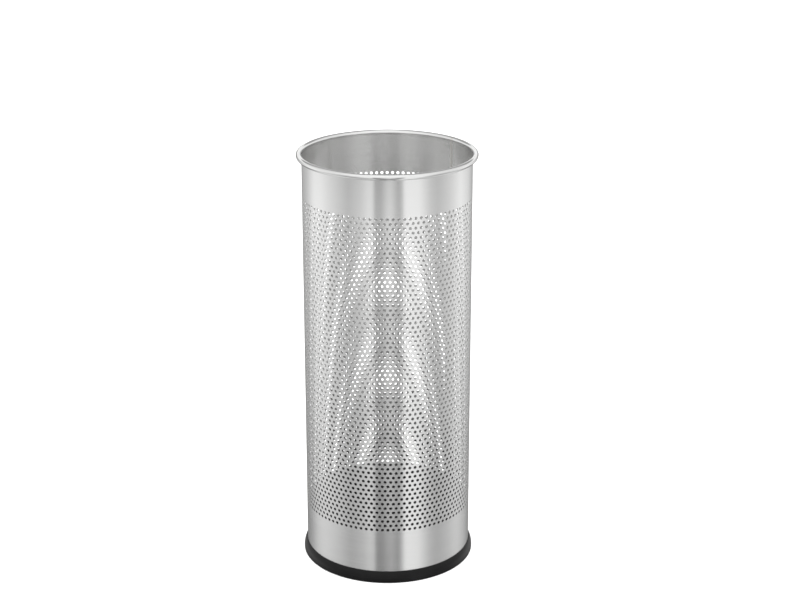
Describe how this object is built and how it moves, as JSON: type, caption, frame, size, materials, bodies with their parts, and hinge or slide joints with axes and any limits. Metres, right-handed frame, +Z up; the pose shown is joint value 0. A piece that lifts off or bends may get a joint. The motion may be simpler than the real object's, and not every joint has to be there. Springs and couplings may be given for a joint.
{
  "type": "umbrella stand",
  "caption": "Tall round umbrella stand of perforated brushed steel with a rolled rim, a black foot ring and a lift-out drip tray.",
  "frame": {"origin": "centre of the foot ring's underside, on the floor", "axes": "+Z up along the tube's axis; the stand is round, so +X and +Y are free, and -Y is taken as the front"},
  "size_m": [0.26, 0.26, 0.62],
  "materials": {
    "brushed_steel": "stainless steel sheet, brushed round the tube",
    "base_steel": "black powder coat, fine texture",
    "black_ring": "satin moulded black plastic",
    "black_tray": "fine-grained moulded black plastic"
  },
  "bodies": {
    "stand": {"perforated_shell": "brushed_steel", "base_plate": "base_steel", "base_ring": "black_ring"},
    "tray": {"drip_tray": "black_tray"}
  },
  "joints": [
    {"name": "tray_lift", "type": "slide", "parent": "stand", "child": "tray", "axis": [0, 0, 1], "range_m": [0, 0.62]}
  ]
}
